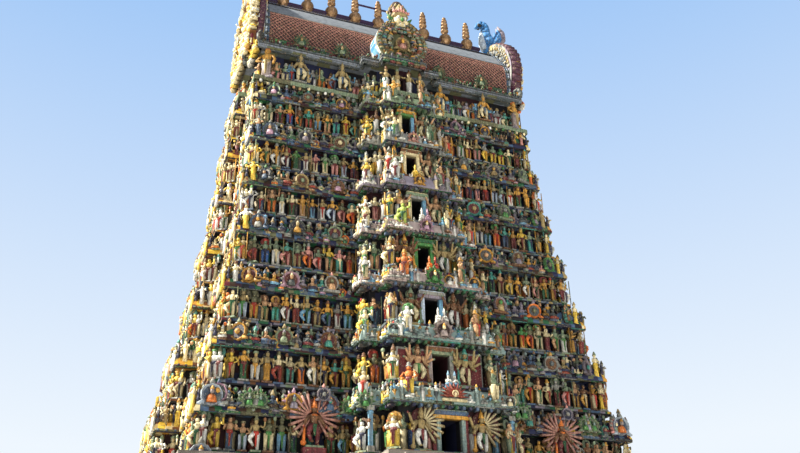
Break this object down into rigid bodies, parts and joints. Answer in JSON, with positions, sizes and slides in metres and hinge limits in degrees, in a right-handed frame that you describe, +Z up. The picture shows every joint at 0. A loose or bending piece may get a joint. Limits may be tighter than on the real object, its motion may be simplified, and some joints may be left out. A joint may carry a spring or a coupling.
{
  "type": "gopuram, a temple gateway tower, as a 1:2 scale model",
  "caption": "Stepped temple gateway tower with stucco storeys full of figures over a granite ground storey, and a barrel roof with a row of finials.",
  "frame": {"origin": "on the ground, under the middle of the tower", "axes": "+Z up along the height; the gateway runs along Y, with the pictured front towards -Y; +X along the front to the right"},
  "size_m": [18.05, 14.55, 26.275],
  "materials": {
    "granite": "rough",
    "ledge": "matt paint",
    "wall": "matt paint",
    "parapet": "matt paint",
    "tiles": "matt",
    "gable": "matt paint",
    "medallion": "matt paint",
    "ridge": "matt paint",
    "kalasam": "worn",
    "beast": "satin paint"
  },
  "bodies": {
    "root": {"plinth_left": "granite", "base_wall_left": "granite", "plinth_right": "granite", "base_wall_right": "granite", "gate_lintel_front": "granite", "gate_lintel_back": "granite", "base_cornice": "granite", "floor_a": "ledge", "walls_a": "wall", "parapet_a": "parapet", "floor_b": "ledge", "walls_b": "wall", "parapet_b": "parapet", "floor_c": "ledge", "walls_c": "wall", "parapet_c": "parapet", "floor_d": "ledge", "walls_d": "wall", "parapet_d": "parapet", "floor_e": "ledge", "walls_e": "wall", "parapet_e": "parapet", "floor_f": "ledge", "walls_f": "wall", "parapet_f": "parapet", "floor_g": "ledge", "walls_g": "wall", "parapet_g": "parapet", "floor_h": "ledge", "walls_h": "wall", "eave_h": "parapet", "roof_vault": "tiles", "gable_left": "gable", "gable_right": "gable", "medallion_front": "medallion", "medallion_back": "medallion", "ridge_rail_1": "ridge", "ridge_rail_2": "ridge", "ridge_rail_3": "ridge", "ridge_rail_4": "ridge", "ridge_rail_5": "ridge", "ridge_rail_6": "ridge", "ridge_rail_7": "ridge", "ridge_rail_8": "ridge", "ridge_rail_9": "ridge", "ridge_rail_10": "ridge", "upper_rail_1": "ridge", "upper_rail_2": "ridge", "kalasam_1": "kalasam", "kalasam_2": "kalasam", "kalasam_3": "kalasam", "kalasam_4": "kalasam", "kalasam_5": "kalasam", "kalasam_6": "kalasam", "kalasam_7": "kalasam", "kalasam_8": "kalasam", "kalasam_9": "kalasam", "beast_left": "beast", "beast_right": "beast"}
  },
  "joints": []
}
